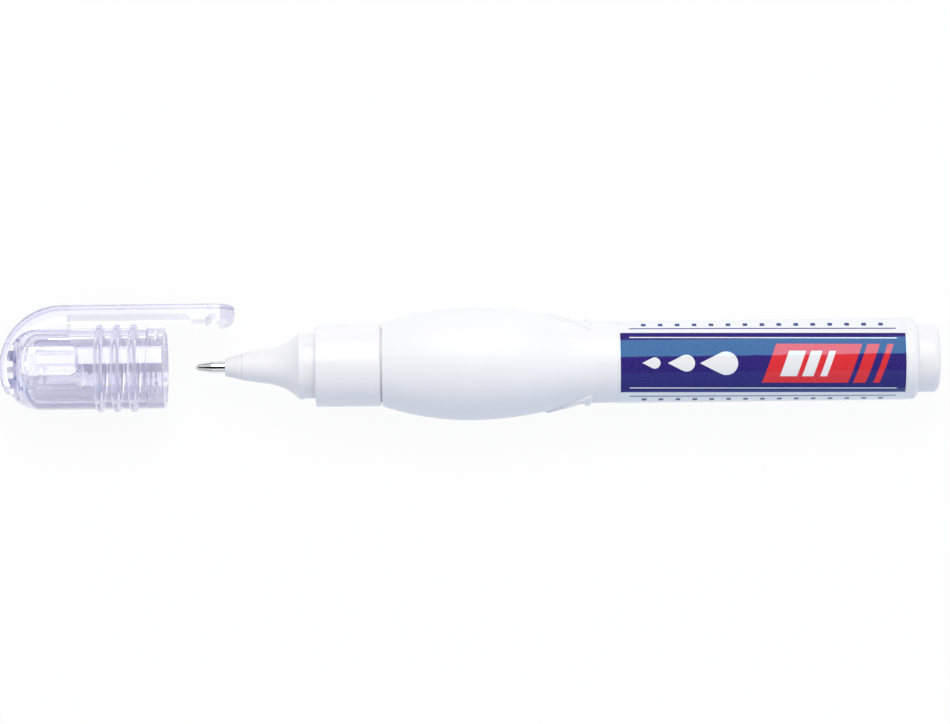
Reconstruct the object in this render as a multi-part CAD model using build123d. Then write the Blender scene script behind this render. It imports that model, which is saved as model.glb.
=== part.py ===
from build123d import *
import os
from math import sqrt

# A squeeze correction pen with its clear cap pulled off, in millimetres.
# X runs along the pen's axis, from the tip at -X to the rear plug at +X.
# Z is up, and the pen lies on its side. The origin is on the axis, in the middle of the labelled barrel.

# Clearances
press_gap = 0.02
skin_gap = 0.01
running_gap = 0.1
stop_gap = 0.3
socket_gap = 0.015
collar_gap = 0.3
cap_seat_gap = 0.1
cap_nose_gap = 0.2
lug_gap = 0.05
cut_past = 1.0

# Squeeze bottle
barrel_radius = 7.2
barrel_lead = 2.3
barrel_tail = 2.0
bottle_wall = 0.7
grip_rise = 2.8
crown_bend = 60.0
waist_bend = 40.0
crown_from_front = 16.0
front_rise = 0.15
neck_land = 4.5
rear_wall = 1.5
rear_lip = 1.4
bottle_front_round = 0.35
bottle_rear_round = 1.4

# Raised triangular squeeze marks on the two sides of the bottle
mark_length = 8.0
mark_half_width = 4.6
mark_from_waist = 2.5
mark_ridge_width = 1.0
mark_height = 0.4

# Label sleeve
label_length = 51.2
label_thickness = 0.1
label_seam = 0.6

# Rear plug
plug_length = 3.9
plug_step = 1.2
plug_round = 1.1
plug_spigot_length = 4.5
plug_wall = 1.0
plug_end_wall = 1.3
plug_bead_length = 0.9
plug_bead_height = 0.15

# Mixing ball
mixing_ball_radius = 2.5

# Nose section
collar_length = 11.5
collar_taper = 0.05
collar_step = 1.5
collar_round = 0.25
neck_length = 2.1
bead_length = 1.0
bead_height = 0.2
cone_length = 10.1
cone_taper_length = 4.6
cone_taper_rise = 0.67
flare_step = 0.05
spigot_wall = 1.4
throat_setback = 1.5

# Tip holder
holder_length = 2.95
holder_lip_wall = 0.55
holder_ring_length = 0.95
ring_step = 0.55
ring_taper = 0.14
bullet_step = 0.1
nose_step = 0.1
shank_wall = 0.5
chamber_step = 0.2

# Metal tip and its ball
ball_radius = 0.55
ball_recess = 0.15
lip_wall = 0.07
tip_wall = 0.5
tip_reach = 4.85
tip_length = 10.0
tip_cone_length = 2.4

# Valve rod, spring and seat
pin_radius = 0.3
pin_head_gap = 0.25
pin_head_length = 0.4
pin_guide_gap = 0.2
pin_guide_length = 1.2
spring_wire_radius = 0.1
spring_room = 0.5
spring_turns = 6
spring_length = 4.3
seat_length = 1.0
seat_ledge = 0.15

# Cap
cap_standoff = 5.7
cap_tip_room = 4.1
cap_end_wall = 2.5
cap_bore_end_round = 3.0
cap_step_run = 0.3
cap_mouth_round = 0.3
cap_dome_length = 5.4
cap_dome_inset = 3.4
rib_count = 3
rib_pitch = 2.98
rib_half_width = 0.75
rib_height = 0.6
rib_from_mouth = 5.65
lug_count = 4
lug_span = 22.0
lug_length = 1.2
lug_height = 0.25
lug_from_mouth = 0.7
flat_width = 5.3
flat_run = 12.4
flat_corner_round = 1.0
flat_recess = 0.3
flat_draft = 30.0
flat_floor_round = 0.15
vent_inner_offset = 1.0
vent_outer_offset = 3.85
vent_height = 1.0
vent_depth = 1.2

# Pocket clip, part of the cap
clip_roll = 13.0
clip_width = 6.4
clip_gap = 1.8
clip_thickness = 1.9
clip_edge_round = 0.4
clip_root_run = 10.5
clip_bump_from_mouth = 4.0
clip_bump_ramp_in = 0.7
clip_bump_flat = 2.15
clip_bump_ramp_out = 1.25
clip_bump_gap = 0.8
clip_notch = 0.9
clip_lip_length = 3.2
clip_lip_gap = 0.5
clip_lip_round = 2.0
strap_proud = 1.5
strap_reach = 3.8

# Radii of the bottle and what fits it
crown_radius = barrel_radius + grip_rise
bottle_front_radius = barrel_radius + front_rise
bottle_neck_radius = bottle_front_radius - bottle_wall
rear_bore_radius = barrel_radius - bottle_wall - rear_lip
plug_radius = barrel_radius - plug_step
plug_spigot_radius = rear_bore_radius - press_gap
plug_core_radius = plug_spigot_radius - plug_wall
spigot_radius = bottle_neck_radius - press_gap
nose_bore_radius = spigot_radius - spigot_wall
collar_rear_radius = bottle_front_radius
collar_front_radius = collar_rear_radius - collar_taper
neck_radius = collar_front_radius - collar_step
bead_radius = neck_radius + bead_height
cone_flare_radius = neck_radius - flare_step

# Radii of the point, from its ball outwards
socket_radius = ball_radius + socket_gap
tip_lip_radius = ball_radius + lip_wall
tip_radius = ball_radius + tip_wall
holder_bore_radius = tip_radius + press_gap
holder_front_radius = tip_radius + holder_lip_wall
spring_chamber_radius = tip_radius + chamber_step
holder_shank_radius = spring_chamber_radius + shank_wall
holder_ring_radius = holder_shank_radius + ring_step
holder_ring_front_radius = holder_ring_radius - ring_taper
holder_bullet_radius = holder_ring_front_radius - bullet_step
shank_bore_radius = holder_shank_radius + press_gap
cone_front_radius = holder_ring_radius + nose_step
cone_taper_radius = cone_front_radius + cone_taper_rise
spring_coil_radius = spring_chamber_radius - spring_room
pin_head_radius = spring_chamber_radius - pin_head_gap
pin_guide_radius = spring_coil_radius - spring_wire_radius - pin_guide_gap
seat_radius = spring_chamber_radius - press_gap
seat_hole_radius = spring_coil_radius - spring_wire_radius - seat_ledge

# Radii of the cap, from the nose that it covers
cap_radius = collar_front_radius
cap_bore_radius = cone_flare_radius + cap_nose_gap
lug_radius = bead_radius + lug_gap
cap_mouth_radius = lug_radius + lug_height
cap_dome_flat_radius = cap_radius - cap_dome_inset

# Bends of the bottle's bulge: one arc in front of the crown and two behind it, tangent to each other
crown_rise = crown_radius - bottle_front_radius
front_bend = (crown_from_front**2 + crown_rise**2) / (2 * crown_rise)
bends = crown_bend + waist_bend
waist_run = sqrt(bends**2 - (bends - grip_rise) ** 2)

# Places along the axis
label_front = -label_length / 2
label_rear = label_length / 2
bottle_rear = label_rear + barrel_tail
waist_x = label_front - barrel_lead
crown_x = waist_x - waist_run
bottle_front = crown_x - crown_from_front
spigot_rear = bottle_front + neck_land
collar_rear = bottle_front - collar_gap
collar_front = collar_rear - collar_length
bead_rear = collar_front - neck_length
bead_front = bead_rear - bead_length
nose_front = bead_front - cone_length
ring_front = nose_front - holder_ring_length
holder_front = nose_front - holder_length
lip_front = holder_front - tip_reach
tip_rear = lip_front + tip_length
ball_x = lip_front + ball_recess
head_front = tip_rear + running_gap
head_rear = head_front + pin_head_length
seat_front = head_rear + spring_length
shank_rear = seat_front + seat_length
plug_spigot_front = bottle_rear - plug_spigot_length
cap_mouth = lip_front - cap_standoff
cap_mouth_depth = neck_length + bead_length - cap_seat_gap
nose_reach = collar_front - cap_seat_gap - (ball_x - ball_radius)
cap_length = nose_reach + cap_tip_room + cap_end_wall
cap_end = cap_mouth - cap_length

# Centres of the bulge's bends, as (x, radius)
front_centre = (crown_x, crown_radius - front_bend)
crown_centre = (crown_x, crown_radius - crown_bend)
waist_centre = (waist_x, barrel_radius + waist_bend)


def arc_about(centre, start, end):
    """The shorter arc from start to end about a known centre."""
    hub = Vector(*centre)
    first = Vector(*start) - hub
    last = Vector(*end) - hub
    middle = hub + (first + last).normalized() * first.length
    return ThreePointArc(start, middle, end)


def turned(*edges):
    """A solid of revolution about the pen's axis, from an outline of (x, radius) edges."""
    return revolve(make_face(Curve() + list(edges)), Axis.X)


def end_rims(body, which):
    """The round edges at the body's low end (0) or high end (-1) along the pen's axis."""
    return body.edges().filter_by(GeomType.CIRCLE).group_by(Axis.X)[which]


def bulge(grow, start_x):
    """The bottle's side from start_x to the waist, with its surface moved outward by grow."""
    reach = start_x - crown_x
    start = (start_x, front_centre[1] + sqrt((front_bend + grow) ** 2 - reach**2))
    top = (crown_x, crown_radius + grow)
    towards_waist = (Vector(*waist_centre) - Vector(*crown_centre)).normalized()
    meeting = Vector(*crown_centre) + towards_waist * (crown_bend + grow)
    end = (waist_x, barrel_radius + grow)
    sides = [
        arc_about(front_centre, start, top),
        arc_about(crown_centre, top, (meeting.X, meeting.Y)),
        arc_about(waist_centre, (meeting.X, meeting.Y), end),
    ]
    return start, sides, end


def bottle_body(grow):
    """The bottle's outer form as a full solid, with its surface moved outward by grow."""
    start, sides, end = bulge(grow, bottle_front)
    back = Polyline(end, (bottle_rear, end[1]), (bottle_rear, 0), (bottle_front, 0), start)
    return turned(*sides, back)


def bottle_hollow():
    """The room inside the bottle, open through the neck and through the rear bore."""
    start, sides, end = bulge(-bottle_wall, spigot_rear)
    lip_x = bottle_rear - rear_wall
    front_x = bottle_front - cut_past
    back_x = bottle_rear + cut_past
    rest = Polyline(
        end,
        (lip_x, end[1]),
        (lip_x, rear_bore_radius),
        (back_x, rear_bore_radius),
        (back_x, 0),
        (front_x, 0),
        (front_x, bottle_neck_radius),
        (spigot_rear, bottle_neck_radius),
        start,
    )
    return turned(*sides, rest)


def squeeze_mark(side):
    """A triangular ridge that points at the bulge, on the +Y side (1) or the -Y side (-1)."""
    base_x = waist_x - mark_from_waist
    apex_x = base_x - mark_length
    outer = make_face(
        Polyline((apex_x, 0), (base_x, mark_half_width), (base_x, -mark_half_width), (apex_x, 0))
    )
    ridge = outer - offset(outer, -mark_ridge_width)
    prism = extrude(Plane.XZ * ridge, crown_radius + mark_height)
    prism = prism if side < 0 else mirror(prism, Plane.XZ)
    return prism & bottle_body(mark_height)


def squeeze_bottle():
    body = bottle_body(0)
    body = fillet(end_rims(body, -1), bottle_rear_round)
    body = fillet(end_rims(body, 0), bottle_front_round)
    for side in (-1, 1):
        body += squeeze_mark(side)
    return body - bottle_hollow()


def label():
    inner = barrel_radius + skin_gap
    outer = inner + label_thickness
    sleeve = turned(
        Polyline(
            (label_front, inner),
            (label_front, outer),
            (label_rear, outer),
            (label_rear, inner),
            (label_front, inner),
        )
    )
    seam = Box(label_length + cut_past, label_seam, 2 * label_thickness + cut_past)
    return sleeve - Pos(0, 0, -inner) * seam


def rear_plug():
    end_x = bottle_rear + plug_length
    bead_rear_x = bottle_rear - rear_wall - press_gap
    bead_front_x = bead_rear_x - plug_bead_length
    bead = ThreePointArc(
        (bead_rear_x, plug_spigot_radius),
        (bead_rear_x - plug_bead_length / 2, rear_bore_radius + plug_bead_height),
        (bead_front_x, plug_spigot_radius),
    )
    core_x = end_x - plug_end_wall
    rest = Polyline(
        (bead_front_x, plug_spigot_radius),
        (plug_spigot_front, plug_spigot_radius),
        (plug_spigot_front, plug_core_radius),
        (core_x, plug_core_radius),
        (core_x, 0),
        (end_x, 0),
        (end_x, plug_radius),
        (bottle_rear, plug_radius),
        (bottle_rear, plug_spigot_radius),
        (bead_rear_x, plug_spigot_radius),
    )
    body = turned(bead, rest)
    return fillet(end_rims(body, -1), plug_round)


def mixing_ball():
    """The steel ball, run forward to the end of the nose's spigot, clear of the barrel's lower wall."""
    x = spigot_rear + mixing_ball_radius + stop_gap
    drop = barrel_radius - bottle_wall - mixing_ball_radius - running_gap
    return Pos(x, 0, -drop) * Sphere(mixing_ball_radius)


def nose_section():
    taper_end = (nose_front + cone_taper_length, cone_taper_radius)
    taper = Line((nose_front, cone_front_radius), taper_end)
    flare = TangentArc(
        taper_end, (bead_front, cone_flare_radius), tangent=(cone_taper_length, cone_taper_rise)
    )
    bead = ThreePointArc(
        (bead_front, cone_flare_radius),
        (bead_front + bead_length / 2, bead_radius),
        (bead_rear, neck_radius),
    )
    rest = Polyline(
        (bead_rear, neck_radius),
        (collar_front, neck_radius),
        (collar_front, collar_front_radius),
        (collar_rear, collar_rear_radius),
        (collar_rear, spigot_radius),
        (spigot_rear, spigot_radius),
        (spigot_rear, nose_bore_radius),
        (collar_front + throat_setback, nose_bore_radius),
        (shank_rear, shank_bore_radius),
        (nose_front, shank_bore_radius),
        (nose_front, cone_front_radius),
    )
    body = turned(taper, flare, bead, rest)
    rims = body.edges().filter_by(GeomType.CIRCLE)
    collar_rims = rims.filter_by(lambda rim: rim.radius > bottle_neck_radius)
    return fillet(collar_rims, collar_round)


def tip_holder():
    bullet = TangentArc(
        (ring_front, holder_bullet_radius),
        (holder_front, holder_front_radius),
        tangent=(-holder_ring_length, -ring_taper),
    )
    rest = Polyline(
        (holder_front, holder_front_radius),
        (holder_front, holder_bore_radius),
        (tip_rear, holder_bore_radius),
        (tip_rear, spring_chamber_radius),
        (shank_rear, spring_chamber_radius),
        (shank_rear, holder_shank_radius),
        (nose_front, holder_shank_radius),
        (nose_front, holder_ring_radius),
        (ring_front, holder_ring_front_radius),
        (ring_front, holder_bullet_radius),
    )
    return turned(bullet, rest)


def metal_tip():
    opening = sqrt(socket_radius**2 - ball_recess**2)
    socket = arc_about((ball_x, 0), (lip_front, opening), (ball_x, socket_radius))
    rest = Polyline(
        (ball_x, socket_radius),
        (tip_rear, socket_radius),
        (tip_rear, tip_radius),
        (lip_front + tip_cone_length, tip_radius),
        (lip_front, tip_lip_radius),
        (lip_front, opening),
    )
    return turned(socket, rest)


def tip_ball():
    return Pos(ball_x, 0, 0) * Sphere(ball_radius)


def push_pin():
    front_x = ball_x + ball_radius + socket_gap
    guide_rear = head_rear + pin_guide_length
    return turned(
        Polyline(
            (front_x, 0),
            (front_x, pin_radius),
            (head_front, pin_radius),
            (head_front, pin_head_radius),
            (head_rear, pin_head_radius),
            (head_rear, pin_guide_radius),
            (guide_rear, pin_guide_radius),
            (guide_rear, 0),
            (front_x, 0),
        )
    )


def valve_spring():
    wire_room = spring_wire_radius + press_gap
    height = spring_length - 2 * wire_room
    coil = Helix(pitch=height / spring_turns, height=height, radius=spring_coil_radius)
    wire = Plane(origin=coil @ 0, z_dir=coil % 0) * Circle(spring_wire_radius)
    spring = sweep(wire, path=coil, is_frenet=True)
    return Pos(head_rear + wire_room, 0, 0) * Rot(0, 90, 0) * spring


def spring_seat():
    return turned(
        Polyline(
            (seat_front, seat_hole_radius),
            (seat_front, seat_radius),
            (shank_rear, seat_radius),
            (shank_rear, seat_hole_radius),
            (seat_front, seat_hole_radius),
        )
    )


def cap_shell():
    """The cap's round body as a full solid, with its domed end and grip ribs."""
    shoulder = (cap_end + cap_dome_length, cap_radius)
    edges = [TangentArc(shoulder, (cap_end, cap_dome_flat_radius), tangent=(-1, 0))]
    here = shoulder
    for number in reversed(range(rib_count)):
        middle = cap_mouth - rib_from_mouth - number * rib_pitch
        start = (middle - rib_half_width, cap_radius)
        end = (middle + rib_half_width, cap_radius)
        edges += [Line(here, start), ThreePointArc(start, (middle, cap_radius + rib_height), end)]
        here = end
    edges += [
        Polyline(
            here,
            (cap_mouth, cap_radius),
            (cap_mouth, 0),
            (cap_end, 0),
            (cap_end, cap_dome_flat_radius),
        )
    ]
    body = turned(*edges)
    return fillet(end_rims(body, -1), cap_mouth_round)


def cap_hollow():
    """The room inside the cap: a wide mouth, a slanted step and the bore with a rounded end."""
    bore_end = cap_end + cap_end_wall
    step_x = cap_mouth - cap_mouth_depth
    bore = turned(
        Polyline(
            (bore_end, 0),
            (bore_end, cap_bore_radius),
            (step_x - cap_step_run, cap_bore_radius),
            (step_x, cap_mouth_radius),
            (cap_mouth + cut_past, cap_mouth_radius),
            (cap_mouth + cut_past, 0),
            (bore_end, 0),
        )
    )
    return fillet(end_rims(bore, 0), cap_bore_end_round)


def snap_lugs():
    """Small lugs in the cap's mouth that ride over the bead of the nose."""
    rear_x = cap_mouth - lug_from_mouth
    front_x = rear_x - lug_length
    root = cap_mouth_radius + lug_height
    outline = Polyline(
        (front_x, root), (front_x + lug_length / 3, lug_radius), (rear_x, root), (front_x, root)
    )
    lug = revolve(make_face(outline), Axis.X, revolution_arc=lug_span)
    turns = [(number + 0.5) * 360 / lug_count - lug_span / 2 for number in range(lug_count)]
    return [Rot(turn, 0, 0) * lug for turn in turns]


def pocket_clip():
    """The strap that wraps over the cap's closed end and runs out past its mouth, towards +Y."""
    inner = cap_radius + clip_gap
    outer = inner + clip_thickness
    bump_radius = cap_radius + clip_bump_gap
    lip_radius = cap_radius + clip_lip_gap
    bend_x = cap_end - strap_proud + outer
    buried_x = cap_end + vent_depth
    root_x = cap_end + clip_root_run
    bump_front = cap_mouth + clip_bump_from_mouth
    flat_front = bump_front + clip_bump_ramp_in
    flat_rear = flat_front + clip_bump_flat
    bump_rear = flat_rear + clip_bump_ramp_out
    lip_x = bump_rear + clip_notch
    clip_end = lip_x + clip_lip_length
    round_centre = (clip_end - clip_lip_round, lip_radius + clip_lip_round)
    round_start = (round_centre[0], lip_radius)
    round_end = (clip_end, round_centre[1])
    foot = (bend_x - sqrt(outer**2 - strap_reach**2), -strap_reach)
    wrap = ThreePointArc((bend_x, outer), (bend_x - outer, 0), foot)
    underside = Polyline(
        foot,
        (buried_x, -strap_reach),
        (buried_x, 0),
        (root_x, 0),
        (root_x, inner),
        (bump_front, inner),
        (flat_front, bump_radius),
        (flat_rear, bump_radius),
        (bump_rear, inner),
        (lip_x, inner),
        (lip_x, lip_radius),
        round_start,
    )
    lip = arc_about(round_centre, round_start, round_end)
    top = Polyline(round_end, (clip_end, outer), (bend_x, outer))
    strap = extrude(make_face(Curve() + [wrap, underside, lip, top]), clip_width / 2, both=True)
    plan_length = clip_end - foot[0] + outer
    plan = SlotOverall(2 * plan_length, clip_width)
    column = extrude(Plane.XZ * plan, 2 * outer, both=True)
    strap = strap & (Pos(clip_end - plan_length, 0, 0) * column)
    outer_rim = strap.faces().sort_by(Axis.Y)[-1].edges()
    return fillet(outer_rim, clip_edge_round)


def side_flats():
    """Cutters for the two recessed flats on the cap's sides, with slanted walls and rounded corners."""
    depth = sqrt(cap_radius**2 - (flat_width / 2) ** 2) - flat_recess
    length = flat_run + flat_width
    outline = RectangleRounded(length, flat_width, flat_corner_round)
    cutter = extrude(outline, cap_radius, taper=-flat_draft)
    cutter = fillet(cutter.faces().sort_by(Axis.Z)[0].edges(), flat_floor_round)
    cutter = Pos(cap_end + flat_run - length / 2, 0, depth) * cutter
    return [cutter, mirror(cutter, Plane.XY)]


def vent_grooves():
    """Cutters for the air vents, which cross the closed end straight down whatever the clip's roll."""
    groove = Box(vent_depth, vent_height, 2 * cap_radius)
    offsets = [side * reach for reach in (vent_inner_offset, vent_outer_offset) for side in (-1, 1)]
    return [Pos(cap_end + vent_depth / 2, y, 0) * groove for y in offsets]


def cap():
    body = cap_shell() + pocket_clip()
    body -= cap_hollow()
    for lug in snap_lugs():
        body += lug & cap_shell()
    for cutter in side_flats():
        body -= cutter
    body = Rot(-clip_roll, 0, 0) * body
    for cutter in vent_grooves():
        body -= cutter
    return body


pieces = {
    "squeeze_bottle": squeeze_bottle(),
    "label": label(),
    "rear_plug": rear_plug(),
    "mixing_ball": mixing_ball(),
    "nose_section": nose_section(),
    "tip_holder": tip_holder(),
    "metal_tip": metal_tip(),
    "tip_ball": tip_ball(),
    "push_pin": push_pin(),
    "valve_spring": valve_spring(),
    "spring_seat": spring_seat(),
    "cap": cap(),
}
os.makedirs("parts", exist_ok=True)
for name, piece in pieces.items():
    export_step(piece, f"parts/{name}.step")
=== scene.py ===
import bpy
import bmesh
from math import acos, atan2, cos, hypot, pi, radians, sin, sqrt, tan
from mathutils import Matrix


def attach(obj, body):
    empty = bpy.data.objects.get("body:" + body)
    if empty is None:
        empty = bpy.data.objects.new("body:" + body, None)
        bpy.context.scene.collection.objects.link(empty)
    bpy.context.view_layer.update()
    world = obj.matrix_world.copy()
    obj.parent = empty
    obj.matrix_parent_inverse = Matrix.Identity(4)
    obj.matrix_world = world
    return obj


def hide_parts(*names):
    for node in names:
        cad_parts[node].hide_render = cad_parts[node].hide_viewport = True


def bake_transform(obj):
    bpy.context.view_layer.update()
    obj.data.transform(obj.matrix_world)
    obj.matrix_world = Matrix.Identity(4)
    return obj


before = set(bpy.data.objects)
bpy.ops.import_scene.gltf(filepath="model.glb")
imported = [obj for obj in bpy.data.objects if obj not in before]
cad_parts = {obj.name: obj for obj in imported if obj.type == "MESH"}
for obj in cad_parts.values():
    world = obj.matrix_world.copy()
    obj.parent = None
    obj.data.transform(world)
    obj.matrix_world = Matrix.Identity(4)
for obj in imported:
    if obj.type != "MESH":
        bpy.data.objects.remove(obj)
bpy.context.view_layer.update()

# A squeeze correction pen with its clear cap pulled off, dressed over its solids.
# Sizes are in millimetres and become metres when a mesh is made.
# X runs along the pen from the tip to the rear plug, Z is up, and the pocket clip is on the +Y side.
MM = 0.001

# Bottle
barrel_radius = 7.2
crown_radius = 10.0
bottle_front_radius = 7.35
bottle_wall = 0.7
crown_bend = 60.0
waist_bend = 40.0
waist_x = -27.9
bends = crown_bend + waist_bend
waist_run = sqrt(bends**2 - (bends - crown_radius + barrel_radius) ** 2)
crown_x = waist_x - waist_run
bottle_front = crown_x - 16.0
bottle_rear = 27.6
spigot_rear = bottle_front + 4.5
rear_wall = 1.5
rear_bore_radius = 5.1

# Squeeze marks
mark_base = waist_x - 2.5
mark_apex = mark_base - 8.0
mark_half_width = 4.6
mark_ridge = 1.0
mark_height = 0.4
mark_slope = 0.22
mark_margin = 1.0
outer_skin = 0.1

# Label
label_half = 25.6
label_inner = 7.21
label_outer = 7.31
label_seam = 0.6

# Label's print, with heights from the middle of its band. A span is (centre, reach to each side).
# A drop is (centre, radius), and its point is drop_reach radii from its centre.
print_offset = 0.56
print_skew = 0.0168
print_slant = -0.36
band_half_length = 25.2
band_half_height = 5.87
block_spans = ((8.6, 7.6), (18.2, 1.1), (21.2, 0.55))
block_half_height = 3.6
cut_spans = ((5.2, 1.5), (8.6, 1.0), (11.4, 0.6))
cut_half_height = 2.3
drop_sizes = ((-19.2, 1.0), (-13.6, 1.5), (-6.6, 2.1))
drop_reach = 2.2
rule_half_length = 23.6
rule_span = (4.8, 0.11)
side_rule_span = (7.0, 0.14)
tick_span = (8.25, 0.5)
tick_half_pitch = 1.5
tick_half_width = 0.42
tick_half_length = 22.6

# Gap between pieces that are pressed together
press_gap = 0.02

# Rear plug
plug_radius = 6.0
plug_end = 31.5
plug_round = 1.1
plug_floor = 1.3
plug_front = bottle_rear - 4.5
plug_spigot_radius = 5.08
plug_core_radius = 4.08
plug_ring_width = 0.9
plug_ring_bite = 0.15

# Nose section. A shoulder is (distance from the bead's end, drop from its top).
collar_rear = bottle_front - 0.3
collar_front = collar_rear - 11.5
collar_front_radius = 7.3
neck_radius = 5.8
bead_rear = collar_front - 2.1
bead_front = bead_rear - 1.0
bead_radius = 6.0
bead_front_shoulder = (0.2, 0.05)
bead_rear_shoulder = (0.15, 0.07)
flare_radius = 5.75
nose_front = bead_front - 10.1
taper_run = 4.6
taper_radius = 3.07
nose_front_radius = 2.4
spigot_radius = 6.63
nose_bore_radius = 5.23
nose_bore_front = collar_front + 1.5

# Tip holder
ring_front = nose_front - 0.95
holder_front = nose_front - 2.95
ring_radius = 2.3
ring_front_radius = 2.16
bullet_radius = 2.06
bullet_heading = (-0.989, -0.146)
holder_front_radius = 1.6
shank_radius = 1.75
chamber_radius = 1.25

# Metal tip and its ball
lip_front = holder_front - 4.85
tip_rear = lip_front + 10.0
shank_rear = tip_rear + 5.8
tip_radius = 1.05
tip_lip_radius = 0.62
tip_cone = 2.4
ball_radius = 0.55
ball_x = lip_front + 0.15
socket_radius = 0.565

# Valve spring
spring_front = tip_rear + 0.5
spring_rear = spring_front + 4.3
spring_end_gap = 0.02
coil_radius = 0.75
wire_radius = 0.1
spring_turns = 6

# Meshes: straight runs longer than long_run get a point at hold_distance from each end
long_run = 1.5
hold_distance = 0.12
weld_distance = 0.0001

# Meshes: distance from point to point along the bottle
bulge_step = 0.6
mark_step = 0.14
waist_step = 0.4
inner_step = 1.2

# Meshes: number of steps in each curve
round_steps = 6
flare_steps = 24
bullet_steps = 12
ball_steps = 36
coil_steps = 40
wire_steps = 16

# Finishes: sizes of their blotches and depths of their relief
cloud_size = 6.0
moulded_depth = 0.0025
film_grain = 0.12
film_wave = 4.0
film_wave_depth = 0.05
metal_cloud = 0.6
ring_depth = 0.0006
flow_size = 5.0
flow_depth = 0.01

# Finishes: most of the noise is within this span
usual_noise = (0.3, 0.7)

# Photograph's view: straight down, from a long lens
view_centre = (-50.9, 0.34)
view_distance = 783.0
view_width = 169.1
view_roll = -0.72
sensor_width = 36.0
floor_height = -10.02

# Painted shadow: a darker violet strip of the floor beside the pen, seen only through clear plastic
painted_shadow_y = -16.0
painted_shadow_half_width = 5.0
painted_shadow_edge = 5.0

# Shares of the floor's own white: seen by the camera or in a reflection, and seen through clear plastic
floor_glow = 0.93
floor_glow_through = 0.07

# Surroundings: places along the pen are X of the direction, leans are degrees from the zenith
strip_middle = -0.15
strip_reach = 0.3
strip_end = 0.42
card_spans = ((-0.08, 0.08), (-0.41, 0.06))
card_leans = ((-52, 22), (41, 25))


def make_node(tree, kind, inputs=None, **settings):
    """Add a node. Each input is a plain value or another node's output."""
    node = tree.nodes.new(kind)
    for name, value in settings.items():
        setattr(node, name, value)
    for socket, value in (inputs or {}).items():
        if isinstance(value, bpy.types.NodeSocket):
            tree.links.new(value, node.inputs[socket])
        else:
            node.inputs[socket].default_value = value
    return node


def calc(tree, operation, *values):
    """The output of one Math node on plain values or outputs."""
    return make_node(tree, "ShaderNodeMath", dict(enumerate(values)), operation=operation).outputs[0]


def all_of(tree, *masks):
    """1 where every mask is 1."""
    result = masks[0]
    for mask in masks[1:]:
        result = calc(tree, "MULTIPLY", result, mask)
    return result


def any_of(tree, *masks):
    """1 where at least one mask is 1."""
    result = masks[0]
    for mask in masks[1:]:
        result = calc(tree, "MAXIMUM", result, mask)
    return result


def near(tree, value, centre, reach):
    """1 where value is within reach of centre."""
    return calc(tree, "COMPARE", value, centre, reach)


def within(tree, value, spans):
    """1 where value is in one of the (centre, reach) spans."""
    return any_of(tree, *[near(tree, value, centre, reach) for centre, reach in spans])


def mix_colour(tree, share, first, second):
    """The first colour at share 0, the second at share 1."""
    node = make_node(tree, "ShaderNodeMix", {0: share, 6: first, 7: second}, data_type="RGBA")
    return node.outputs[2]


def between(tree, value, low, high, result_low, result_high):
    """Value carried from one span to another, held at its ends."""
    inputs = {0: value, 1: low, 2: high, 3: result_low, 4: result_high}
    return make_node(tree, "ShaderNodeMapRange", inputs).outputs[0]


def place_of(tree):
    """The place on the piece, in the object's own coordinates."""
    return make_node(tree, "ShaderNodeTexCoord").outputs["Object"]


def noise(tree, place, size_mm, detail=3.0):
    """Soft noise from 0 to 1, with blotches of about that size."""
    inputs = {"Vector": place, "Scale": 1 / (size_mm * MM), "Detail": detail}
    return make_node(tree, "ShaderNodeTexNoise", inputs).outputs["Fac"]


def bump(tree, height, depth_mm, normal=None):
    """A normal that follows a height of 0 to 1, scaled to a depth."""
    inputs = {"Height": height, "Distance": depth_mm * MM}
    if normal is not None:
        inputs["Normal"] = normal
    return make_node(tree, "ShaderNodeBump", inputs).outputs["Normal"]


def new_finish(name):
    """A material with its tree and its main shader."""
    finish = bpy.data.materials.new(name)
    finish.use_nodes = True
    shader = finish.node_tree.nodes["Principled BSDF"]
    return finish, finish.node_tree, shader


def connect(tree, shader, **sockets):
    """Link outputs to the shader's sockets, whose names have underscores here."""
    for name, output in sockets.items():
        tree.links.new(output, shader.inputs[name.replace("_", " ")])


def moulded_white(name, pale, shade, roughness, grain_mm):
    """White plastic with faint cloudiness and a fine moulded grain."""
    finish, tree, shader = new_finish(name)
    place = place_of(tree)
    cloud = noise(tree, place, cloud_size)
    grain = noise(tree, place, grain_mm, 2.0)
    connect(
        tree,
        shader,
        Base_Color=mix_colour(tree, cloud, shade, pale),
        Roughness=between(tree, cloud, *usual_noise, roughness - 0.05, roughness + 0.05),
        Normal=bump(tree, grain, moulded_depth),
    )
    shader.inputs["IOR"].default_value = 1.5
    return finish


def print_axes(tree):
    """Place on the label in millimetres: along the barrel, and up from the band's middle, a little askew."""
    axes = make_node(tree, "ShaderNodeSeparateXYZ", {0: place_of(tree)}).outputs
    along = calc(tree, "DIVIDE", axes[0], MM)
    angle = calc(tree, "ARCTAN2", axes[1], axes[2])
    up = calc(tree, "MULTIPLY_ADD", angle, label_outer, print_offset)
    return along, calc(tree, "MULTIPLY_ADD", along, print_skew, up)


def drop_mark(tree, along, up, centre, size):
    """A drop of fluid, round at the rear and pointed towards the tip."""
    apex = centre - drop_reach * size
    cone = 1 / drop_reach
    slope = cone / sqrt(1 - cone**2)
    height = calc(tree, "ABSOLUTE", up)
    offset = calc(tree, "SUBTRACT", along, centre)
    reach = calc(tree, "SQRT", calc(tree, "ADD", calc(tree, "POWER", offset, 2), calc(tree, "POWER", up, 2)))
    round_part = calc(tree, "LESS_THAN", reach, size)
    edge = calc(tree, "MULTIPLY", calc(tree, "SUBTRACT", along, apex), slope)
    point = all_of(
        tree,
        calc(tree, "LESS_THAN", height, edge),
        calc(tree, "LESS_THAN", along, centre - size * cone),
    )
    return any_of(tree, round_part, point)


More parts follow.
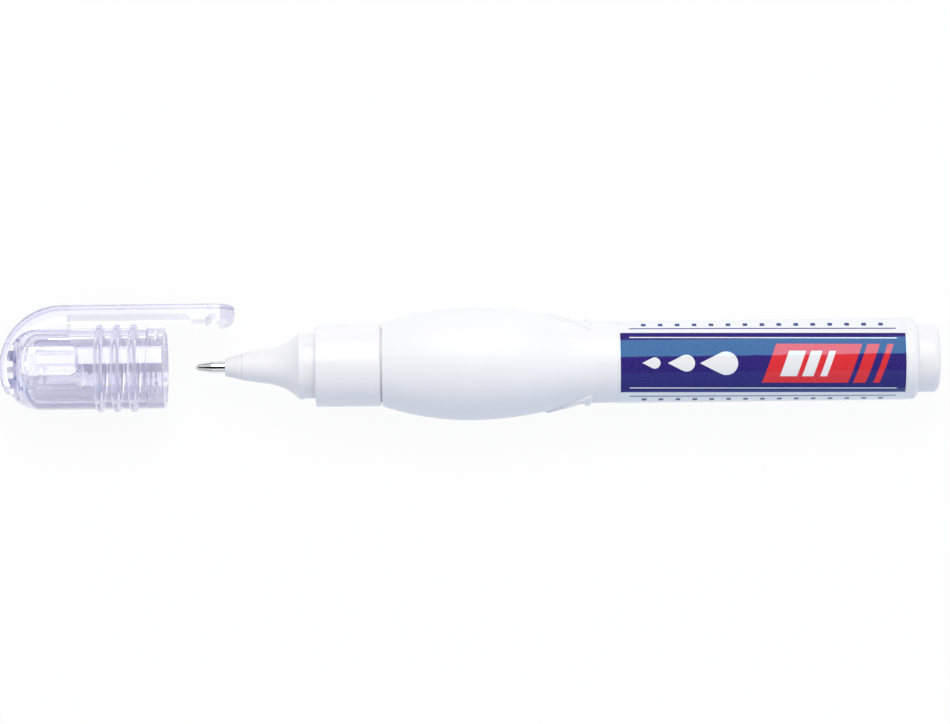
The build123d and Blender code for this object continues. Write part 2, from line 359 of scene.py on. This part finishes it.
def printed_film():
    """Glossy label film: a blue band with slanted red blocks, drops and rules, on white."""
    white = (0.88, 0.88, 0.9, 1)
    blue = (0.022, 0.008, 0.18, 1)
    red = (0.77, 0.022, 0.03, 1)
    finish, tree, shader = new_finish("printed_film")
    place = place_of(tree)
    along, up = print_axes(tree)
    height = calc(tree, "ABSOLUTE", up)
    band = all_of(tree, near(tree, up, 0.0, band_half_height), near(tree, along, 0.0, band_half_length))
    slant = calc(tree, "MULTIPLY_ADD", up, print_slant, along)
    blocks = all_of(tree, near(tree, up, 0.0, block_half_height), within(tree, slant, block_spans))
    cuts = all_of(tree, near(tree, up, 0.0, cut_half_height), within(tree, slant, cut_spans))
    drops = [drop_mark(tree, along, up, centre, size) for centre, size in drop_sizes]
    ruled = near(tree, along, 0.0, rule_half_length)
    rules = all_of(tree, near(tree, height, *rule_span), ruled)
    side_rules = all_of(tree, near(tree, height, *side_rule_span), ruled)
    ticks = all_of(
        tree,
        near(tree, height, *tick_span),
        calc(tree, "LESS_THAN", calc(tree, "PINGPONG", along, tick_half_pitch), tick_half_width),
        near(tree, along, 0.0, tick_half_length),
    )
    grain = noise(tree, place, film_grain, 2.0)
    colour = mix_colour(tree, any_of(tree, band, ticks, side_rules), white, blue)
    colour = mix_colour(tree, blocks, colour, red)
    colour = mix_colour(tree, any_of(tree, cuts, rules, *drops), colour, white)
    colour = mix_colour(tree, between(tree, grain, 0.35, 0.75, 0.0, 0.05), colour, white)
    waves = noise(tree, place, film_wave, 1.0)
    connect(
        tree,
        shader,
        Base_Color=colour,
        Roughness=between(tree, grain, 0.2, 0.8, 0.05, 0.09),
        Normal=bump(tree, waves, film_wave_depth),
    )
    shader.inputs["IOR"].default_value = 1.65
    shader.inputs["Specular Tint"].default_value = (0.18, 0.75, 1.0, 1)
    return finish


def bare_metal(name, bright, dark, roughness, ring_mm):
    """Metal with fine rings along the pen's axis, as turning or drawing leaves them."""
    finish, tree, shader = new_finish(name)
    place = place_of(tree)
    axes = make_node(tree, "ShaderNodeSeparateXYZ", {0: place}).outputs
    rings = calc(tree, "PINGPONG", axes[0], ring_mm * MM)
    height = between(tree, rings, 0.0, ring_mm * MM, 0.0, 1.0)
    cloud = noise(tree, place, metal_cloud)
    connect(
        tree,
        shader,
        Base_Color=mix_colour(tree, cloud, dark, bright),
        Roughness=between(tree, cloud, *usual_noise, roughness - 0.04, roughness + 0.04),
        Normal=bump(tree, height, ring_depth),
    )
    shader.inputs["Metallic"].default_value = 1.0
    return finish


def clear_plastic():
    """Clear moulded plastic, faintly violet where it is deep, with slight flow lines.

    Light on its way to another surface goes straight through, and so does light that was often reflected.
    """
    tinted = (0.955, 0.95, 0.975, 1)
    clear = (0.965, 0.96, 0.98, 1)
    thin_violet = (0.95, 0.95, 0.975, 1)
    shadow_violet = (0.66, 0.66, 0.76, 1)
    deep_violet = (0.287, 0.287, 0.65, 1)
    most_reflections = 2.5
    finish, tree, shader = new_finish("clear_plastic")
    output = tree.nodes["Material Output"]
    flow = noise(tree, place_of(tree), flow_size, 1.0)
    connect(
        tree,
        shader,
        Base_Color=mix_colour(tree, flow, tinted, clear),
        Roughness=between(tree, flow, *usual_noise, 0.01, 0.03),
        Normal=bump(tree, flow, flow_depth),
    )
    shader.inputs["IOR"].default_value = 1.58
    shader.inputs["Transmission Weight"].default_value = 1.0
    shader.inputs["Coat Weight"].default_value = 0.6
    shader.inputs["Coat IOR"].default_value = 1.6
    rays = make_node(tree, "ShaderNodeLightPath").outputs
    trapped = calc(tree, "GREATER_THAN", rays["Glossy Depth"], most_reflections)
    passing = any_of(tree, rays["Is Shadow Ray"], rays["Is Diffuse Ray"])
    freed = make_node(tree, "ShaderNodeBsdfTransparent", {"Color": thin_violet})
    passed = make_node(tree, "ShaderNodeBsdfTransparent", {"Color": shadow_violet})
    inner = make_node(tree, "ShaderNodeMixShader", {0: trapped, 1: shader.outputs[0], 2: freed.outputs[0]})
    outer = make_node(tree, "ShaderNodeMixShader", {0: passing, 1: inner.outputs[0], 2: passed.outputs[0]})
    deep = make_node(tree, "ShaderNodeVolumeAbsorption", {"Color": deep_violet, "Density": 42.0})
    tree.links.new(outer.outputs[0], output.inputs["Surface"])
    tree.links.new(deep.outputs[0], output.inputs["Volume"])
    return finish


def floor_finish():
    """White studio floor that keeps a soft shadow, deeper where it is seen through clear plastic.

    A strip of it beside the pen has a painted shadow, a darker violet colour, for light that comes through
    clear plastic alone.
    """
    white = (0.94, 0.94, 0.95, 1)
    # Painted shadow: the darker violet colour of the strip beside the pen
    painted_shadow_violet = (0.31, 0.31, 0.5, 1)
    finish, tree, shader = new_finish("floor_white")
    tree.nodes.remove(shader)
    glow = make_node(tree, "ShaderNodeEmission", {"Color": (1, 1, 1, 1), "Strength": 1.0})
    rays = make_node(tree, "ShaderNodeLightPath").outputs
    mirrored = calc(tree, "SUBTRACT", rays["Is Glossy Ray"], rays["Is Transmission Ray"])
    # Painted shadow: the strip beside the pen turns darker violet, only for rays that came through clear
    # plastic
    side = make_node(tree, "ShaderNodeSeparateXYZ", {0: place_of(tree)}).outputs[1]
    away = calc(tree, "ABSOLUTE", calc(tree, "SUBTRACT", side, painted_shadow_y * MM))
    painted_shadow_end = painted_shadow_half_width + painted_shadow_edge
    shade = between(tree, away, painted_shadow_half_width * MM, painted_shadow_end * MM, 1.0, 0.0)
    shade = all_of(tree, shade, rays["Is Transmission Ray"])
    colour = mix_colour(tree, shade, white, painted_shadow_violet)
    paper = make_node(tree, "ShaderNodeBsdfDiffuse", {"Color": colour})
    seen = calc(tree, "MULTIPLY", any_of(tree, rays["Is Camera Ray"], mirrored), floor_glow)
    seen_through = calc(tree, "MULTIPLY", rays["Is Transmission Ray"], floor_glow_through)
    share = any_of(tree, seen, seen_through)
    mixed = make_node(tree, "ShaderNodeMixShader", {0: share, 1: paper.outputs[0], 2: glow.outputs[0]})
    tree.links.new(mixed.outputs[0], tree.nodes["Material Output"].inputs["Surface"])
    return finish


def rounded(corners, closed=True):
    """An outline of (x, radius, round) corners, with each round drawn as a short arc."""
    points = []
    count = len(corners)
    for number, (x, r, bend) in enumerate(corners):
        inside = closed or 0 < number < count - 1
        if bend == 0 or not inside:
            points.append((x, r))
            continue
        before = corners[number - 1]
        after = corners[(number + 1) % count]
        one = (before[0] - x, before[1] - r)
        two = (after[0] - x, after[1] - r)
        one_length = hypot(*one)
        two_length = hypot(*two)
        one = (one[0] / one_length, one[1] / one_length)
        two = (two[0] / two_length, two[1] / two_length)
        half = acos(max(-1.0, min(1.0, one[0] * two[0] + one[1] * two[1]))) / 2
        along = min(bend / tan(half), one_length / 2, two_length / 2)
        radius = along * tan(half)
        middle = (one[0] + two[0], one[1] + two[1])
        middle_length = hypot(*middle)
        away = radius / sin(half) / middle_length
        centre = (x + middle[0] * away, r + middle[1] * away)
        start = (x + one[0] * along, r + one[1] * along)
        end = (x + two[0] * along, r + two[1] * along)
        points += arc_points(centre, start, end, round_steps)
    return points


def arc_points(centre, start, end, steps):
    """Points along the shorter arc from start to end."""
    radius = hypot(start[0] - centre[0], start[1] - centre[1])
    first = atan2(start[1] - centre[1], start[0] - centre[0])
    turn = atan2(end[1] - centre[1], end[0] - centre[0]) - first
    turn = (turn + pi) % (2 * pi) - pi
    angles = [first + turn * step / steps for step in range(steps + 1)]
    return [(centre[0] + radius * cos(angle), centre[1] + radius * sin(angle)) for angle in angles]


def tangent_arc(start, direction, end, steps):
    """Points along the arc that leaves start in a direction and reaches end."""
    normal = (-direction[1], direction[0])
    reach = (end[0] - start[0], end[1] - start[1])
    bend = (reach[0] ** 2 + reach[1] ** 2) / (2 * (reach[0] * normal[0] + reach[1] * normal[1]))
    centre = (start[0] + normal[0] * bend, start[1] + normal[1] * bend)
    return arc_points(centre, start, end, steps)


def plain(points):
    """Outline points with no rounding of their own."""
    return [(x, r, 0) for x, r in points]


def spread(start, end, step):
    """Even places from start to end, about one step apart, with both ends."""
    count = max(1, round(abs(end - start) / step))
    return [start + (end - start) * number / count for number in range(count + 1)]


def held(points, closed):
    """Add a point close to each end of a long straight run, so that its shading stays even."""
    result = []
    ends = points[1:] + points[:1] if closed else points[1:]
    for start, end in zip(points, ends):
        result.append(start)
        run = (end[0] - start[0], end[1] - start[1])
        length = hypot(*run)
        if length > long_run:
            for share in (hold_distance / length, 1 - hold_distance / length):
                result.append((start[0] + run[0] * share, start[1] + run[1] * share))
    return result if closed else result + points[-1:]


def shape_tree(name, *sizes):
    """A Geometry Nodes tree with an outline, (name, kind) sizes and a finish as its inputs."""
    tree = bpy.data.node_groups.new(name, "GeometryNodeTree")
    for socket, kind in (("Outline", "Geometry"), *sizes, ("Finish", "Material")):
        tree.interface.new_socket(socket, in_out="INPUT", socket_type="NodeSocket" + kind)
    tree.interface.new_socket("Piece", in_out="OUTPUT", socket_type="NodeSocketGeometry")
    return tree, make_node(tree, "NodeGroupInput").outputs


def give_shape(tree, shape, finish):
    """Let the tree hand out a shape in its finish."""
    real = make_node(tree, "GeometryNodeRealizeInstances", {"Geometry": shape}).outputs[0]
    done = make_node(tree, "GeometryNodeSetMaterial", {"Geometry": real, "Material": finish})
    make_node(tree, "NodeGroupOutput", {0: done.outputs[0]})


def turning_tree():
    """Geometry Nodes that turn an outline of (x, radius) about the pen's axis."""
    tree, given = shape_tree(
        "turned_piece",
        ("Segments", "Int"),
        ("Sweep", "Float"),
        ("Start", "Float"),
        ("Close Ends", "Bool"),
    )
    outline = make_node(tree, "GeometryNodeMeshToCurve", {"Mesh": given["Outline"]}).outputs[0]
    outline_keep = make_node(tree, "GeometryNodeCaptureAttribute")
    outline_keep.capture_items.new("VECTOR", "Place")
    tree.links.new(outline, outline_keep.inputs[0])
    tree.links.new(make_node(tree, "GeometryNodeInputPosition").outputs[0], outline_keep.inputs[1])
    line = make_node(tree, "GeometryNodeCurvePrimitiveLine").outputs[0]
    steps = calc(tree, "ADD", given["Segments"], 1)
    path = make_node(tree, "GeometryNodeResampleCurve", {"Curve": line, "Count": steps}).outputs[0]
    path_keep = make_node(tree, "GeometryNodeCaptureAttribute")
    path_keep.capture_items.new("FLOAT", "Share")
    tree.links.new(path, path_keep.inputs[0])
    tree.links.new(make_node(tree, "GeometryNodeSplineParameter").outputs["Factor"], path_keep.inputs[1])
    surface = make_node(
        tree,
        "GeometryNodeCurveToMesh",
        {
            "Curve": path_keep.outputs[0],
            "Profile Curve": outline_keep.outputs[0],
            "Fill Caps": given["Close Ends"],
        },
    ).outputs[0]
    angle = calc(tree, "MULTIPLY_ADD", path_keep.outputs[1], given["Sweep"], given["Start"])
    axes = make_node(tree, "ShaderNodeSeparateXYZ", {0: outline_keep.outputs[1]}).outputs
    sideways = calc(tree, "MULTIPLY", axes[1], calc(tree, "SINE", angle))
    upward = calc(tree, "MULTIPLY", axes[1], calc(tree, "COSINE", angle))
    place = make_node(tree, "ShaderNodeCombineXYZ", {0: axes[0], 1: sideways, 2: upward}).outputs[0]
    turned = make_node(tree, "GeometryNodeSetPosition", {"Geometry": surface, "Position": place}).outputs[0]
    weld = {"Geometry": turned, "Distance": weld_distance * MM}
    whole = make_node(tree, "GeometryNodeMergeByDistance", weld).outputs[0]
    give_shape(tree, whole, given["Finish"])
    return tree


def coil_tree():
    """Geometry Nodes that wind a round wire into a coil along the pen's axis."""
    tree, given = shape_tree(
        "wound_coil",
        ("Coil Radius", "Float"),
        ("Wire Radius", "Float"),
        ("Turns", "Float"),
        ("Front", "Float"),
        ("Length", "Float"),
    )
    coil = make_node(
        tree,
        "GeometryNodeCurveSpiral",
        {
            "Resolution": coil_steps,
            "Rotations": given["Turns"],
            "Start Radius": given["Coil Radius"],
            "End Radius": given["Coil Radius"],
            "Height": given["Length"],
            "Reverse": True,
        },
    ).outputs[0]
    size = {"Resolution": wire_steps, "Radius": given["Wire Radius"]}
    wire = make_node(tree, "GeometryNodeCurvePrimitiveCircle", size).outputs[0]
    wound = make_node(
        tree,
        "GeometryNodeCurveToMesh",
        {"Curve": coil, "Profile Curve": wire, "Fill Caps": True},
    ).outputs[0]
    place = make_node(tree, "ShaderNodeCombineXYZ", {0: given["Front"]}).outputs[0]
    laid = make_node(
        tree,
        "GeometryNodeTransform",
        {"Geometry": wound, "Translation": place, "Rotation": (0, pi / 2, 0)},
    ).outputs[0]
    give_shape(tree, laid, given["Finish"])
    return tree


def dress(piece, tree, values):
    """Run a Geometry Nodes tree on a piece and keep its result as a plain mesh."""
    modifier = piece.modifiers.new("shape", "NODES")
    modifier.node_group = tree
    for socket in tree.interface.items_tree:
        if socket.in_out == "INPUT" and socket.name in values:
            modifier[socket.identifier] = values[socket.name]
    shown = piece.evaluated_get(bpy.context.evaluated_depsgraph_get())
    made = bpy.data.meshes.new_from_object(shown)
    piece.modifiers.remove(modifier)
    piece.data = made
    made.name = piece.name


def smooth_outside(piece, sharp_degrees=32):
    """Turn the faces outwards and shade them smooth, except across sharp corners."""
    work = bmesh.new()
    work.from_mesh(piece.data)
    bmesh.ops.recalc_face_normals(work, faces=work.faces)
    work.to_mesh(piece.data)
    work.free()
    piece.data.shade_smooth()
    piece.data.set_sharp_from_angle(angle=radians(sharp_degrees))


def turned_piece(name, points, finish, closed=True, segments=192, gap=0.0):
    """A piece turned from its outline. A gap leaves a slit of that width at the bottom."""
    mesh = bpy.data.meshes.new(name)
    points = held(points, closed)
    count = len(points)
    edges = [(number, number + 1) for number in range(count - 1)]
    if closed:
        edges.append((count - 1, 0))
    mesh.from_pydata([(x * MM, r * MM, 0) for x, r in points], edges, [])
    piece = bpy.data.objects.new(name, mesh)
    bpy.context.scene.collection.objects.link(piece)
    slit = gap / max(r for x, r in points)
    dress(
        piece,
        turning,
        {
            "Segments": segments,
            "Sweep": 2 * pi - slit,
            "Start": pi + slit / 2,
            "Close Ends": gap > 0,
            "Finish": finish,
        },
    )
    smooth_outside(piece)
    return piece


def hand_in(piece, node, body):
    """The piece stands for its solid, whose mesh is hidden, and moves with a body."""
    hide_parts(node)
    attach(piece, body)


def bottle_radius(x, grow=0.0):
    """The bottle's radius along its axis, with the surface moved outward by grow."""
    rise = crown_radius - bottle_front_radius
    front_bend = ((crown_x - bottle_front) ** 2 + rise**2) / (2 * rise)
    meeting = crown_x + waist_run * crown_bend / bends
    if x <= crown_x:
        return crown_radius - front_bend + sqrt((front_bend + grow) ** 2 - (x - crown_x) ** 2)
    if x <= meeting:
        return crown_radius - crown_bend + sqrt((crown_bend + grow) ** 2 - (x - crown_x) ** 2)
    if x <= waist_x:
        return barrel_radius + waist_bend - sqrt((waist_bend - grow) ** 2 - (x - waist_x) ** 2)
    return barrel_radius + grow


def bottle_outline():
    """The bottle's outer side from front to rear, then its inner side back to the front."""
    marks_start = mark_apex - mark_margin
    marks_end = mark_base + mark_margin
    places = spread(bottle_front, marks_start, bulge_step)
    places += spread(marks_start, marks_end, mark_step)[1:]
    places += spread(marks_end, waist_x, waist_step)[1:]
    outer = [(x, bottle_radius(x)) for x in places]
    inner_rear = bottle_rear - rear_wall
    inner_radius = barrel_radius - bottle_wall
    inner = [(x, bottle_radius(x, -bottle_wall)) for x in spread(waist_x, spigot_rear, inner_step)]
    neck_bore = bottle_front_radius - bottle_wall
    corners = [(*outer[0], 0.35), *plain(outer[1:])]
    corners += [
        (-label_half, barrel_radius, 0),
        (label_half, barrel_radius, 0),
        (bottle_rear, barrel_radius, 1.4),
        (bottle_rear, rear_bore_radius, 0.1),
        (inner_rear, rear_bore_radius, 0.1),
        (inner_rear, inner_radius, 0.3),
        *plain(inner),
        (spigot_rear, neck_bore, 0),
        (bottle_front, neck_bore, 0.1),
    ]
    return rounded(corners)


def mark_rise(x, z):
    """Height of the triangular ridge that points at the bulge, seen from the side."""
    lean = hypot(mark_base - mark_apex, mark_half_width)
    from_side = ((mark_base - mark_apex) * abs(z) - mark_half_width * (x - mark_apex)) / lean
    from_edge = max(x - mark_base, from_side)
    inside = mark_ridge / 2 - abs(from_edge + mark_ridge / 2)
    share = max(0.0, min(1.0, inside / mark_slope + 0.5))
    return mark_height * share * share * (3 - 2 * share)


def squeeze_bottle():
    """Soft white bottle with its bulged grip and the two raised marks."""
    piece = turned_piece("bottle", bottle_outline(), finishes["soft_white_plastic"], segments=320)
    for vertex in piece.data.vertices:
        x, y, z = (value / MM for value in vertex.co)
        radius = hypot(y, z)
        along_mark = mark_apex - mark_margin < x < mark_base + mark_margin
        beside_mark = along_mark and abs(z) < mark_half_width + mark_margin
        if beside_mark and radius > bottle_radius(x) - outer_skin:
            grown = 1 + mark_rise(x, z) / radius
            vertex.co.y *= grown
            vertex.co.z *= grown
    smooth_outside(piece)
    hand_in(piece, "squeeze_bottle", "pen")


def label():
    """Printed film wrapped round the barrel, with its seam underneath."""
    corners = [
        (-label_half, label_inner, 0),
        (-label_half, label_outer, 0.04),
        (label_half, label_outer, 0.04),
        (label_half, label_inner, 0),
    ]
    film = finishes["printed_film"]
    piece = turned_piece("label_film", rounded(corners), film, segments=240, gap=label_seam)
    hand_in(piece, "label", "pen")


def rear_plug():
    """Stopper pressed into the bottle's rear end."""
    ring_rear = bottle_rear - rear_wall - press_gap
    corners = [
        (plug_end - plug_floor, 0, 0),
        (plug_end - plug_floor, plug_core_radius, 0.3),
        (plug_front, plug_core_radius, 0.1),
        (plug_front, plug_spigot_radius, 0.3),
        (ring_rear - plug_ring_width, plug_spigot_radius, 0),
        (ring_rear - plug_ring_width / 2, rear_bore_radius + plug_ring_bite, 0.3),
        (ring_rear, plug_spigot_radius, 0),
        (bottle_rear, plug_spigot_radius, 0.05),
        (bottle_rear, plug_radius, 0.12),
        (plug_end, plug_radius, plug_round),
        (plug_end, 0, 0),
    ]
    outline = rounded(corners, closed=False)
    piece = turned_piece("rear_stopper", outline, finishes["white_plastic"], closed=False)
    hand_in(piece, "rear_plug", "pen")


def nose_section():
    """White nose with its flared cone, snap bead, neck and collar."""
    taper_end = (nose_front + taper_run, taper_radius)
    rise = taper_radius - nose_front_radius
    slope = hypot(taper_run, rise)
    heading = (taper_run / slope, rise / slope)
    flare = tangent_arc(taper_end, heading, (bead_front, flare_radius), flare_steps)
    front_in, front_drop = bead_front_shoulder
    rear_in, rear_drop = bead_rear_shoulder
    corners = [(nose_front, nose_front_radius, 0.2), *plain(flare[:-1])]
    corners += [
        (bead_front, flare_radius, 0.06),
        (bead_front + front_in, bead_radius - front_drop, 0.15),
        ((bead_front + bead_rear) / 2, bead_radius, 0.3),
        (bead_rear - rear_in, bead_radius - rear_drop, 0.15),
        (bead_rear, neck_radius, 0.08),
        (collar_front, neck_radius, 0.08),
        (collar_front, collar_front_radius, 0.25),
        (collar_rear, bottle_front_radius, 0.25),
        (collar_rear, spigot_radius, 0.05),
        (spigot_rear, spigot_radius, 0.2),
        (spigot_rear, nose_bore_radius, 0.1),
        (nose_bore_front, nose_bore_radius, 0.5),
        (shank_rear, shank_radius + press_gap, 0.2),
        (nose_front, shank_radius + press_gap, 0),
    ]
    piece = turned_piece("nose", rounded(corners), finishes["white_plastic"])
    hand_in(piece, "nose_section", "pen")


def tip_holder():
    """Bullet-shaped bush that carries the metal tip."""
    bullet_end = (holder_front, holder_front_radius)
    bullet = tangent_arc((ring_front, bullet_radius), bullet_heading, bullet_end, bullet_steps)
    corners = [
        (nose_front, shank_radius, 0),
        (nose_front, ring_radius, 0.06),
        (ring_front, ring_front_radius, 0.05),
        *plain(bullet[:-1]),
        (holder_front, holder_front_radius, 0.12),
        (holder_front, tip_radius + press_gap, 0.05),
        (tip_rear, tip_radius + press_gap, 0),
        (tip_rear, chamber_radius, 0),
        (shank_rear, chamber_radius, 0),
        (shank_rear, shank_radius, 0),
    ]
    piece = turned_piece("holder", rounded(corners), finishes["white_plastic"])
    hand_in(piece, "tip_holder", "pen")


def metal_tip():
    """Polished point with the socket for its ball."""
    opening = sqrt(socket_radius**2 - (ball_x - lip_front) ** 2)
    socket = arc_points((ball_x, 0), (ball_x, socket_radius), (lip_front, opening), round_steps)
    corners = [
        *plain(socket),
        (lip_front, tip_lip_radius, 0.03),
        (lip_front + tip_cone, tip_radius, 0.3),
        (tip_rear, tip_radius, 0.05),
        (tip_rear, socket_radius, 0),
    ]
    piece = turned_piece("point", rounded(corners), finishes["bright_metal"], segments=128)
    hand_in(piece, "metal_tip", "pen")


def tip_ball():
    """Small ball that rolls in the point."""
    half_turn = [pi * step / ball_steps for step in range(ball_steps + 1)]
    points = [(ball_x - ball_radius * cos(angle), ball_radius * sin(angle)) for angle in half_turn]
    points[0] = (ball_x - ball_radius, 0)
    points[-1] = (ball_x + ball_radius, 0)
    piece = turned_piece("point_ball", points, finishes["bright_metal"], closed=False, segments=72)
    hand_in(piece, "tip_ball", "point_ball")


def valve_spring():
    """Coil behind the valve rod."""
    piece = bpy.data.objects.new("spring", bpy.data.meshes.new("spring"))
    bpy.context.scene.collection.objects.link(piece)
    end_room = wire_radius + spring_end_gap
    dress(
        piece,
        coil_tree(),
        {
            "Coil Radius": coil_radius * MM,
            "Wire Radius": wire_radius * MM,
            "Turns": float(spring_turns),
            "Front": (spring_front + end_room) * MM,
            "Length": (spring_rear - spring_front - 2 * end_room) * MM,
            "Finish": finishes["steel"],
        },
    )
    smooth_outside(piece)
    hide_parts("valve_spring")
    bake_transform(piece)


def kept_solids():
    """Solids whose shape is right as it is get their finish."""
    kept = {
        "cap": "clear_plastic",
        "mixing_ball": "steel",
        "push_pin": "steel",
        "spring_seat": "white_plastic",
    }
    for node, slot in kept.items():
        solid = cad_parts[node]
        solid.data.materials.clear()
        solid.data.materials.append(finishes[slot])


def floor():
    """Plain pale floor under the pen."""
    mesh = bpy.data.meshes.new("floor")
    reach = 4.0
    corners = [(-reach, -reach), (reach, -reach), (reach, reach), (-reach, reach)]
    mesh.from_pydata([(x, y, floor_height * MM) for x, y in corners], [], [(0, 1, 2, 3)])
    mesh.materials.append(floor_finish())
    ground = bpy.data.objects.new("floor", mesh)
    bpy.context.scene.collection.objects.link(ground)


def softbox():
    """One large soft light on the clip's side, from near the zenith to two thirds of the way down."""
    lamp = bpy.data.lights.new("softbox", "AREA")
    lamp.shape = "RECTANGLE"
    lamp.size = 0.34
    lamp.size_y = 0.547
    lamp.energy = 1.84
    lamp.color = (0.97, 0.985, 1.0)
    lean = radians(39)
    distance = 0.6
    holder = bpy.data.objects.new("softbox", lamp)
    holder.location = (view_centre[0] * MM, distance * sin(lean), distance * cos(lean))
    holder.rotation_euler = (-lean, 0, 0)
    bpy.context.scene.collection.objects.link(holder)


def lean_colours(tree, lean, stops):
    """A colour that changes with the lean away from the zenith, from (degrees, colour) stops."""
    share = between(tree, lean, -pi / 2, pi / 2, 0.0, 1.0)
    ramp = make_node(tree, "ShaderNodeValToRGB", {0: share})
    elements = ramp.color_ramp.elements
    while len(elements) < len(stops):
        elements.new(0.5)
    for element, (degrees, colour) in zip(elements, stops):
        element.position = degrees / 180 + 0.5
        element.color = (*colour, 1)
    return ramp.outputs[0]


def studio_world():
    """Soft surroundings, brighter overhead than on the cool side away from the softbox.

    Across the pen there is a dark strip overhead, with white cards in it, which give the bright metal its
    contrast. Through clear plastic the surroundings look nearly white, and dimmer low on the far side.
    """
    card_white = (0.95, 0.95, 0.97, 1)
    world = bpy.data.worlds.new("studio")
    world.use_nodes = True
    tree = world.node_tree
    tree.nodes.clear()
    direction = make_node(tree, "ShaderNodeTexCoord").outputs["Generated"]
    axes = make_node(tree, "ShaderNodeSeparateXYZ", {0: direction}).outputs
    lean = calc(tree, "ARCTAN2", axes[1], axes[2])
    across = lean_colours(
        tree,
        lean,
        (
            (-60, (0.28, 0.29, 0.33)),
            (-33, (0.34, 0.35, 0.39)),
            (-30, (0.015, 0.015, 0.02)),
            (13, (0.015, 0.015, 0.02)),
            (16, (0.5, 0.5, 0.52)),
            (66, (0.5, 0.5, 0.52)),
            (70, (0.08, 0.08, 0.1)),
        ),
    )
    endways = lean_colours(
        tree,
        lean,
        (
            (-90, (0.0, 0.2, 0.7)),
            (-60, (0.5, 0.8, 1.2)),
            (-35, (1.14, 1.16, 1.22)),
            (0, (1.22, 1.12, 1.05)),
            (30, (1.3, 1.2, 1.06)),
            (60, (0.44, 0.46, 0.46)),
            (90, (0.3, 0.42, 0.55)),
        ),
    )
    from_strip = calc(tree, "ABSOLUTE", calc(tree, "SUBTRACT", axes[0], strip_middle))
    end_share = between(tree, from_strip, strip_reach, strip_end, 0.0, 1.0)
    colour = mix_colour(tree, end_share, across, endways)
    leans = [(radians(middle), radians(reach)) for middle, reach in card_leans]
    cards = all_of(tree, within(tree, axes[0], card_spans), within(tree, lean, leans))
    colour = mix_colour(tree, cards, colour, card_white)
    depth = make_node(tree, "ShaderNodeLightPath").outputs["Transmission Depth"]
    through = lean_colours(tree, lean, ((-80, (0.42, 0.42, 0.6)), (-40, (0.97, 0.97, 0.99))))
    colour = mix_colour(tree, calc(tree, "GREATER_THAN", depth, 0.5), colour, through)
    light = make_node(tree, "ShaderNodeBackground", {"Color": colour, "Strength": 0.95})
    make_node(tree, "ShaderNodeOutputWorld", {"Surface": light.outputs[0]})
    bpy.context.scene.world = world


def camera():
    """Straight down on the pen, from the photograph's distance."""
    data = bpy.data.cameras.new("camera")
    data.sensor_width = sensor_width
    data.sensor_fit = "HORIZONTAL"
    data.lens = sensor_width * view_distance / view_width
    data.clip_start = 0.01
    holder = bpy.data.objects.new("camera", data)
    holder.location = (view_centre[0] * MM, view_centre[1] * MM, view_distance * MM)
    holder.rotation_euler = (0, 0, radians(view_roll))
    bpy.context.scene.collection.objects.link(holder)
    bpy.context.scene.camera = holder


camera()
turning = turning_tree()
finishes = {
    "soft_white_plastic": moulded_white(
        "soft_white_plastic", (0.9, 0.905, 0.92, 1), (0.87, 0.875, 0.895, 1), 0.42, 0.35
    ),
    "white_plastic": moulded_white("white_plastic", (0.9, 0.9, 0.915, 1), (0.87, 0.87, 0.89, 1), 0.32, 0.25),
    "printed_film": printed_film(),
    "bright_metal": bare_metal("bright_metal", (0.86, 0.86, 0.87, 1), (0.76, 0.76, 0.78, 1), 0.1, 0.05),
    "steel": bare_metal("steel", (0.66, 0.67, 0.69, 1), (0.56, 0.57, 0.59, 1), 0.24, 0.08),
    "clear_plastic": clear_plastic(),
}
squeeze_bottle()
label()
rear_plug()
nose_section()
tip_holder()
metal_tip()
tip_ball()
valve_spring()
kept_solids()
floor()
softbox()
studio_world()
bpy.context.scene.view_settings.view_transform = "Standard"
